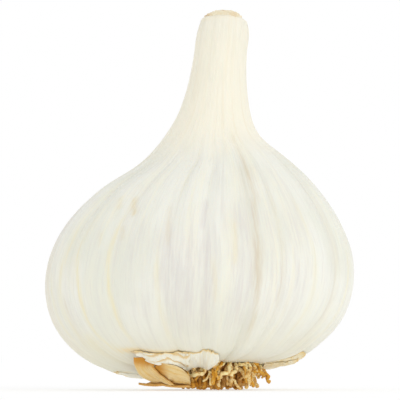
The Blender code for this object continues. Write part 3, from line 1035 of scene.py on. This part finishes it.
def rim_root(index, dice):
    """A root from the disc's edge, which leans far out before it curls down."""
    turn = (index + dice.uniform(-0.4, 0.4)) / RIM_ROOTS * math.tau
    held_in = behind_flap(turn)
    reach = dice.uniform(7.0, 8.0) if held_in else dice.uniform(8.4, 10.8)
    start = skin_point(turn, reach * MM, dice.uniform(0.0, 0.3) * MM)
    lean = math.radians(dice.uniform(0, 15) if held_in else dice.uniform(35, 95))
    curl = math.radians(dice.uniform(-25, 0) if held_in else dice.uniform(-80, 50))
    heading = turn + math.radians(dice.uniform(-70, 70))
    if not held_in and dice.random() < SIDEWAYS_SHARE:
        lean, curl = math.radians(dice.uniform(20, 50)), math.radians(dice.uniform(60, 95))
        heading = turn + math.radians(dice.choice((-1, 1)) * dice.uniform(70, 110))
    length = dice.uniform(2.4, 6.4) * MM
    foot = dice.uniform(1.2, 1.7) if held_in else dice.uniform(0.3, 1.9)
    return finish_root(start, heading, lean, curl, length, foot * MM, dice)


def knuckle(index, dice):
    """A short pale stump at the disc's very edge, close under the skin."""
    turn = (index + dice.uniform(-0.5, 0.5)) / KNUCKLES * math.tau
    if behind_flap(turn):
        turn += math.pi
    start = skin_point(turn, dice.uniform(9.6, 11.0) * MM, 0.1 * MM)
    lean = math.radians(dice.uniform(20, 80))
    curl = math.radians(dice.uniform(-30, 60))
    heading = turn + math.radians(dice.uniform(-80, 80))
    length = dice.uniform(1.1, 2.6) * MM
    return finish_root(start, heading, lean, curl, length, 0.3 * MM, dice, dice.uniform(0.7, 1.0))


def disc_root(index, dice):
    """A root from under the disc, which stands nearly upright."""
    share = (index + 0.5) / DISC_ROOTS
    turn = index * GOLDEN_ANGLE
    held_in = behind_flap(turn) and share > 0.3
    start = skin_point(turn, 8.9 * MM * share**0.6 + 0.1 * MM, 0.6 * MM)
    lean = math.radians(dice.uniform(-15, 30) + (-20 if held_in else 15) * share)
    curl = math.radians(dice.uniform(-50, 35))
    heading = turn + math.radians(dice.uniform(-60, 60))
    length = start[2] * dice.uniform(0.95, 1.5)
    foot = dice.uniform(1.0, 1.5) if held_in else dice.choice((0.08, 0.3, 0.5, 0.7, 0.9, 1.2))
    if start[0] < -2.5 * MM:
        foot = max(foot, 0.6)
    return finish_root(start, heading, lean, curl, length, foot * MM, dice)


tuft = start_tuft()
root_dice = random.Random(ROOT_SEED)
for grow, count in ((rim_root, RIM_ROOTS), (knuckle, KNUCKLES), (disc_root, DISC_ROOTS)):
    for number in range(count):
        add_to(tuft, grow(number, root_dice))
for core in tuft_core:
    add_to(tuft, core)
for point in tuft.verts:
    point.co.z = max(point.co.z, LOWEST_POINT)
print(RIM_ROOTS + KNUCKLES + DISC_ROOTS, "roots on the plate")

# %% [markdown]
# ## Dried roots
# The stumps go from straw to brown, each in its own tone, with browner ends, rusty soil and pale
# scuffs. Shade is painted on too: they get darker inside the tuft, towards the middle of the plate.

# %% The roots' finish
ROOT_BROWN = (0.72, 0.37, 0.04)
ROOT_STRAW = (0.97, 0.82, 0.43)
ROOT_END = (0.83, 0.49, 0.12)
SOIL_RUST = (0.62, 0.27, 0.025)
SCUFF_CREAM = (0.98, 0.88, 0.56)
DEEP_SHADE = (0.52, 0.22, 0.015)
CORE_BROWN = (0.40, 0.17, 0.035)
DEEP_SHADE_RADII = (9.8 * MM, 7.8 * MM)


def from_middle(tree, place):
    """The distance of a place from the Z axis."""
    level = tree.nodes.new("ShaderNodeVectorMath")
    level.operation = "MULTIPLY"
    level.inputs[1].default_value = (1, 1, 0)
    tree.links.new(place, level.inputs[0])
    length = tree.nodes.new("ShaderNodeVectorMath")
    length.operation = "LENGTH"
    tree.links.new(level.outputs[0], length.inputs[0])
    return length.outputs["Value"]


def make_root_finish():
    glow = {"subsurface_weight": 0.1, "subsurface_scale": 0.0003, "subsurface_radius": (1.0, 0.75, 0.45)}
    finish, tree, shader = start_material("dried_roots", roughness=0.7, specular_ior_level=0.15, **glow)
    place = object_place(tree)
    strand, along = read(tree, "strand"), read(tree, "along")
    grime = cloud(tree, place, 1300, detail=3, roughness=0.6)
    colour = tint(tree, remap(tree, strand, 0.15, 0.8), ROOT_BROWN, ROOT_STRAW)
    for value, ends, share, over in (
        (along, (0.6, 1.0), 0.4, ROOT_END),
        (grime, (0.46, 0.62), 0.75, SOIL_RUST),
        (grime, (0.44, 0.3), 0.7, SCUFF_CREAM),
        # painted shade: darker inside the tuft, towards the middle of the plate
        (from_middle(tree, place), DEEP_SHADE_RADII, 0.68, DEEP_SHADE),
        (strand, (-0.2, -0.8), 1.0, CORE_BROWN),
    ):
        colour = wash(tree, colour, value, ends, share, over)
    tree.links.new(colour, shader.inputs["Base Color"])
    raise_surface(tree, shader, grime, 0.00025, 0.7)
    return finish


object_from(tuft, "cut_roots", make_root_finish(), "tan_root", "root_tuft")

# %% [markdown]
# ## Torn remains of the outer skin
# When a bulb is cleaned, its outermost skin is pulled off upwards and tears away round the root plate.
# What is left are ragged sheets, a tenth of a millimetre thick. Each has a small table with lines from
# its held edge to its torn edge. A line has four places, and a place is a turn in degrees, and a reach
# and a lift in mm.

# %% Where each sheet lies
FRILL = (
    ((13, 12.6, 0.5), (6, 9.6, 1.2), (-3, 11.0, 0.7), (-14, 10.0, 1.1)),
    ((12, 15.4, 0.6), (5, 14.8, 1.3), (-2, 15.6, 0.45), (-11, 15.4, 1.2)),
    ((11, 17.0, 0.04), (6, 18.8, 0.04), (-1, 18.0, 0.04), (-9, 18.9, 0.04)),
)
FOLD = (
    ((-12, 11.0, 1.3), (-15, 15.8, 1.5), (-23, 17.0, 1.5), (-33, 17.8, 1.3)),
    ((-7, 16.2, 1.2), (-14, 17.2, 1.2), (-23, 18.0, 1.1), (-35, 18.6, 0.9)),
    ((-5, 18.6, 0.04), (-14, 18.5, 0.04), (-25, 18.9, 0.04), (-39, 19.9, 0.08)),
)
FLAP = (
    ((-28, 17.2, 1.0), (-20, 17.4, 1.6), (-14, 16.2, 2.0), (-10, 12.6, 2.6)),
    ((-28, 16.8, 2.1), (-21, 15.8, 2.6), (-16, 14.0, 2.9), (-11, 11.4, 3.2)),
    ((-32, 14.6, 2.5), (-28, 12.8, 3.0), (-23, 11.2, 3.4), (-13, 9.0, 3.7)),
)
FLAP_LOW = (
    ((-37, 19.3, 1.2), (-38, 18.2, 2.2), (-42, 14.4, 2.7), (-33, 11.6, 3.6)),
    ((-32, 18.2, 1.0), (-34, 17.2, 2.4), (-33, 14.4, 3.0), (-26, 12.6, 3.8)),
    ((-27, 17.4, 1.1), (-27, 17.2, 2.2), (-25, 15.6, 2.9), (-22, 12.4, 3.7)),
)
FLAP_UNDER = (
    ((-8, 7.6, 3.2), (-30, 7.0, 2.6), (-54, 7.6, 2.2), (-78, 9.4, 1.7)),
    ((-11, 9.2, 3.6), (-26, 10.2, 3.5), (-42, 11.0, 3.1), (-62, 12.4, 2.6)),
    ((-13, 10.4, 4.1), (-27, 12.4, 4.05), (-39, 13.0, 3.75), (-49, 14.2, 3.35)),
    ((-13, 10.6, 3.7), (-27, 12.7, 3.7), (-39, 13.2, 3.4), (-48, 14.4, 3.05)),
)
RIGHT_STRIP = (
    ((70, 12.0, 0.04), (84, 11.6, 0.15), (100, 11.6, 0.2), (118, 11.5, 0.2)),
    ((70, 14.4, 0.04), (82, 15.6, 0.2), (100, 15.0, 0.25), (117, 14.0, 0.2)),
    ((72, 17.6, 0.06), (84, 20.0, 0.2), (100, 17.8, 0.15), (115, 15.6, 0.08)),
)
RIGHT_UNDER = (
    ((80, 11.6, 0.25), (90, 11.0, 0.3), (100, 11.0, 0.3), (112, 11.0, 0.3)),
    ((82, 15.0, 0.4), (90, 14.6, 0.45), (100, 14.0, 0.4), (110, 13.0, 0.3)),
    ((86, 18.8, 0.45), (91, 18.0, 0.45), (99, 16.6, 0.4), (108, 14.6, 0.3)),
)
LEFT_LIP = (
    ((-86, 8.6, 0.05), (-94, 8.6, 0.1), (-104, 8.6, 0.15), (-124, 8.6, 0.15)),
    ((-86, 11.6, 0.05), (-94, 11.8, 0.15), (-106, 11.6, 0.2), (-123, 11.0, 0.15)),
    ((-86, 15.8, 0.04), (-94, 16.0, 0.3), (-106, 15.6, 0.2), (-122, 13.6, 0.06)),
)
BACK_STRIP = (
    ((126, 9.5, 0.2), (156, 9.5, 0.2), (190, 9.5, 0.2), (224, 9.5, 0.2)),
    ((127, 12.0, 0.2), (156, 13.5, 0.35), (190, 12.5, 0.3), (222, 13.5, 0.3)),
    ((128, 14.6, 0.1), (154, 18.0, 0.25), (190, 15.8, 0.1), (220, 17.4, 0.15)),
)
print("the big flap stands up to", max(lift for line in FLAP for _, _, lift in line), "mm off the skin")

# %% [markdown]
# ## Shape a sheet
# A flat grid is bent by a smooth blend between the places of its table, so a raised middle curls it.
# Noise tears its outer edge and ripples it, and Solidify gives it its thickness. The border is marked
# sharp, or the thin rim would be shaded as if it were round. Cloth simulation isn't used, because dry
# skin is stiff and keeps the shape it tore in.

# %% Bend and tear a grid
SHEET_THICKNESS = 0.1 * MM
LOWEST_SHEET = 0.25 * MM
LEAST_LIFT_MM = 0.03
FOLD_HEIGHT_MM = 0.18


def read_table(lines, along, out):
    """The turn, reach and lift at shares along and out of a table of lines, on smooth curves."""
    lines = np.array(lines)
    knots = [np.linspace(0, 1, count) for count in lines.shape[:2]]
    line_share = smooth_between(np.eye(len(lines)), knots[0], out)
    place_share = smooth_between(np.eye(lines.shape[1]), knots[1], along)
    return np.einsum("nl,np,lpk->kn", line_share, place_share, lines)


def torn_sheet(name, finish, slot, lines, seed, nodes=(), rag=0.06, ripple=0.12, folds=0, grid=(90, 34)):
    """A ragged sheet through a table of lines, which may be rippled and folded."""
    bm = bmesh.new()
    bm.loops.layers.uv.new("sheet")
    bmesh.ops.create_grid(bm, x_segments=grid[0], y_segments=grid[1], size=0.5, calc_uvs=True)
    across = np.array([vert.co.x + 0.5 for vert in bm.verts])
    out = np.array([vert.co.y + 0.5 for vert in bm.verts])
    tear = noise_at(9 * across, seed, 0) + 0.6 * noise_at(34 * across, seed, 3)
    near = noise_at(11 * across, seed, 6)
    side = noise_at(7 * out, seed, 9)
    far = out * (1 + rag * (tear - 0.7)) + 0.7 * rag * (1 - out) * near
    turn, reach, lift = read_table(lines, across + 1.2 * rag * side * (2 * across - 1), far)
    waves = noise_at(7 * across, 2.5 * out, seed + 20) + 0.5 * noise_at(24 * across, 3 * out, seed + 40)
    drift = noise_at(3 * across, seed, 12)
    fold = np.sin(math.tau * (folds * out + 0.9 * drift)) if folds else np.zeros(len(out))
    loose = np.clip(lift / 0.5, 0.1, 1.0)
    lift = lift + loose * (ripple * waves * (0.3 + out) + FOLD_HEIGHT_MM * fold)
    at = skin_point(np.radians(turn), reach * MM, np.maximum(lift, LEAST_LIFT_MM) * MM)
    at[:, 2] = np.maximum(at[:, 2], LOWEST_SHEET)
    # painted shade: the valleys of the folds are kept for the finish to darken
    store(bm, "fold_valley_shade", np.clip(-1.8 * fold - 0.5, 0, 1))
    move_points(bm, at)
    for edge in bm.edges:
        edge.smooth = not edge.is_boundary
    sheet = object_from(bm, name, finish, slot, *nodes)
    wall = sheet.modifiers.new("thickness", "SOLIDIFY")
    wall.thickness = SHEET_THICKNESS
    wall.offset = 0.0
    rows = at.reshape(grid[1] + 1, grid[0] + 1, 3)
    wide, high = (np.linalg.norm(np.diff(rows, axis=axis), axis=2).sum(axis=axis).mean() for axis in (1, 0))
    print(name, "would lie flat at about", round(wide / MM), "x", round(high / MM), "mm")


# %% [markdown]
# ## Dry torn skin
# The remains are the same skin, browned by soil and sun, and brownest where they tore. Their fibres run
# along the torn edge, or outwards in the pale sheets, so the finish reads the sheet's own UV map.

# %% The finishes of torn skin
THIN_GLOW = {"subsurface_weight": 0.25, "subsurface_scale": 0.0005, "subsurface_radius": (1.0, 0.85, 0.7)}
# Each finish: its paler colour, its deeper one, and that of its torn edge
TAN_COLOURS = (0.88, 0.69, 0.38), (0.81, 0.54, 0.19), (0.58, 0.26, 0.03)
PALE_COLOURS = (0.96, 0.935, 0.81), (0.95, 0.895, 0.71), (0.85, 0.56, 0.18)
STRAW_COLOURS = (0.93, 0.84, 0.62), (0.88, 0.71, 0.40), (0.74, 0.45, 0.12)
ROLLED_COLOURS = (0.80, 0.50, 0.17), (0.68, 0.36, 0.09), (0.48, 0.21, 0.04)
# painted shade for the valleys of folded sheets
VALLEY_SHADE_TAN = (0.80, 0.50, 0.15)
ALONG_EDGE = (0.06, 0.5, 1)
OUTWARDS = (1, 0.06, 1)


def make_torn_finish(name, colours, edge_share, vein_share, run=ALONG_EDGE, start_share=0.0):
    """Dry outer skin, with fibres that run along the axis of small scale, and a browner torn edge."""
    pale, deep, edge = colours
    finish, tree, shader = start_material(name, specular_ior_level=0.3, **THIN_GLOW)
    node = tree.nodes.new("ShaderNodeUVMap")
    node.uv_map = "sheet"
    sheet = node.outputs["UV"]
    fibre = cloud(tree, stretch(tree, sheet, run), 70, detail=4, roughness=0.65)
    blotch = cloud(tree, stretch(tree, sheet, run), 14, detail=3, roughness=0.6)
    colour = tint(tree, remap(tree, blotch, 0.36, 0.62), pale, deep)
    for value, ends, share, over in (
        (fibre, (0.48, 0.7), vein_share, edge),
        (side_of(tree, sheet, 1), (0.9, 1.0), edge_share, edge),
        (side_of(tree, sheet, 0), (0.42, 0.1), start_share, edge),
    ):
        colour = wash(tree, colour, value, ends, share, over)
    # painted shade: the valleys of the folds are tinted a darker tan
    colour = tint(tree, combine(tree, "MULTIPLY", read(tree, "fold_valley_shade"), 0.7), colour, VALLEY_SHADE_TAN)
    tree.links.new(colour, shader.inputs["Base Color"])
    tree.links.new(remap(tree, fibre, 0.3, 0.7, 0.42, 0.65), shader.inputs["Roughness"])
    raise_surface(tree, shader, fibre, 0.00012, 0.8)
    return finish


tan_finish = make_torn_finish("tan_torn_skin", TAN_COLOURS, 0.85, 0.5, start_share=1.0)
pale_finish = make_torn_finish("pale_torn_skin", PALE_COLOURS, 0.8, 0.22, OUTWARDS)
straw_finish = make_torn_finish("straw_torn_skin", STRAW_COLOURS, 0.6, 0.5)
rolled_finish = make_torn_finish("rolled_torn_edge", ROLLED_COLOURS, 0.6, 0.5)

torn_sheet("frill", pale_finish, "pale_skin", FRILL, 3, ("torn_skin_front",), rag=0.08, ripple=0.16)
torn_sheet("folded_frill", pale_finish, "pale_skin", FOLD, 8, rag=0.08, folds=2, ripple=0.14)
torn_sheet("curled_flap", tan_finish, "tan_skin", FLAP, 14, ("torn_skin_left",))
torn_sheet("lower_flap", tan_finish, "tan_skin", FLAP_LOW, 17, rag=0.04)
torn_sheet("curled_under", rolled_finish, "tan_skin", FLAP_UNDER, 21, rag=0.03, ripple=0.05)
torn_sheet("right_strip", straw_finish, "tan_skin", RIGHT_STRIP, 27, ("torn_skin_right",))
torn_sheet("right_under", straw_finish, "tan_skin", RIGHT_UNDER, 29, rag=0.14)
torn_sheet("left_lip", pale_finish, "pale_skin", LEFT_LIP, 33, ("torn_skin_under",), rag=0.12)
back_shape = {"rag": 0.11, "grid": (140, 34)}
torn_sheet("back_strip", pale_finish, "pale_skin", BACK_STRIP, 39, ("torn_skin_back",), **back_shape)

# %% [markdown]
# ## Floor and light
# The bulb stands on a plain white floor under a white sky, as in a product photograph. The sky is pure
# white to the eye but lights the bulb a little less than fully, which leaves room for one broad lamp
# at the front right. That lamp makes the right clove the brightest and gives the furrows their shade.

# %% Floor, sky and lamps
VIEW_WHITE = (1.0, 1.0, 1.0, 1.0)
FLOOR_GREY = (0.55, 0.55, 0.55, 1.0)
FLOOR_GLOW, SKY_LIGHT = 0.485, 0.895


def make_floor():
    bm = bmesh.new()
    bmesh.ops.create_grid(bm, x_segments=1, y_segments=1, size=4.0)
    mesh = bpy.data.meshes.new("floor")
    bm.to_mesh(mesh)
    bm.free()
    glow = {"emission_color": VIEW_WHITE, "emission_strength": FLOOR_GLOW}
    finish, _, shader = start_material("white_floor", roughness=0.9, specular_ior_level=0.0, **glow)
    shader.inputs["Base Color"].default_value = FLOOR_GREY
    mesh.materials.append(finish)
    floor = add_object("floor", mesh)


def make_sky():
    sky = bpy.data.worlds.new("white_sky")
    bpy.context.scene.world = sky
    sky.use_nodes = True
    tree = sky.node_tree
    lit = tree.nodes["Background"]
    lit.inputs["Color"].default_value = VIEW_WHITE
    lit.inputs["Strength"].default_value = SKY_LIGHT
    seen = tree.nodes.new("ShaderNodeBackground")
    seen.inputs["Color"].default_value = VIEW_WHITE
    seen.inputs["Strength"].default_value = 1.0
    ray = tree.nodes.new("ShaderNodeLightPath")
    choose = tree.nodes.new("ShaderNodeMixShader")
    tree.links.new(ray.outputs["Is Camera Ray"], choose.inputs[0])
    tree.links.new(lit.outputs[0], choose.inputs[1])
    tree.links.new(seen.outputs[0], choose.inputs[2])
    tree.links.new(choose.outputs[0], tree.nodes["World Output"].inputs["Surface"])


def make_sun(name, place, strength, width):
    """A very soft distant lamp that shines from a place towards the bulb."""
    lamp = bpy.data.lights.new(name, "SUN")
    lamp.energy = strength
    lamp.angle = math.radians(width)
    add_object(name, lamp).rotation_euler = Vector(place).to_track_quat("Z", "Y").to_euler()


make_floor()
make_sky()
make_sun("front_right", (0.6, -0.75, 0.28), 0.5, 50)
bpy.context.scene.view_settings.view_transform = "Standard"
print("a white floor and sky, and one lamp")

# %% [markdown]
# ## The camera
# The photograph was taken almost level with the root plate, with a long lens, so the plate's front edge
# is just in sight and the cut end of the neck shows as a thin arc. The lens is chosen so that the
# frame is 72.5 mm wide at the bulb.

# %% Camera
CAMERA_DISTANCE = 0.6
CAMERA_HEIGHT = 6 * MM
SENSOR_WIDTH = 36
FRAME_WIDTH = 72.48 * MM
FRAME_CENTRE = Vector((-0.12 * MM, 0.0, 34.4 * MM))

camera_data = bpy.data.cameras.new("camera")
camera_data.sensor_width = SENSOR_WIDTH
camera_data.lens = SENSOR_WIDTH * CAMERA_DISTANCE / FRAME_WIDTH
camera = add_object("camera", camera_data)
camera.location = (FRAME_CENTRE.x, -CAMERA_DISTANCE, CAMERA_HEIGHT)
camera.rotation_euler = (FRAME_CENTRE - camera.location).to_track_quat("-Z", "Y").to_euler()
camera_data.clip_start = 0.01
bpy.context.scene.camera = camera
print("the lens is", round(camera_data.lens), "mm")
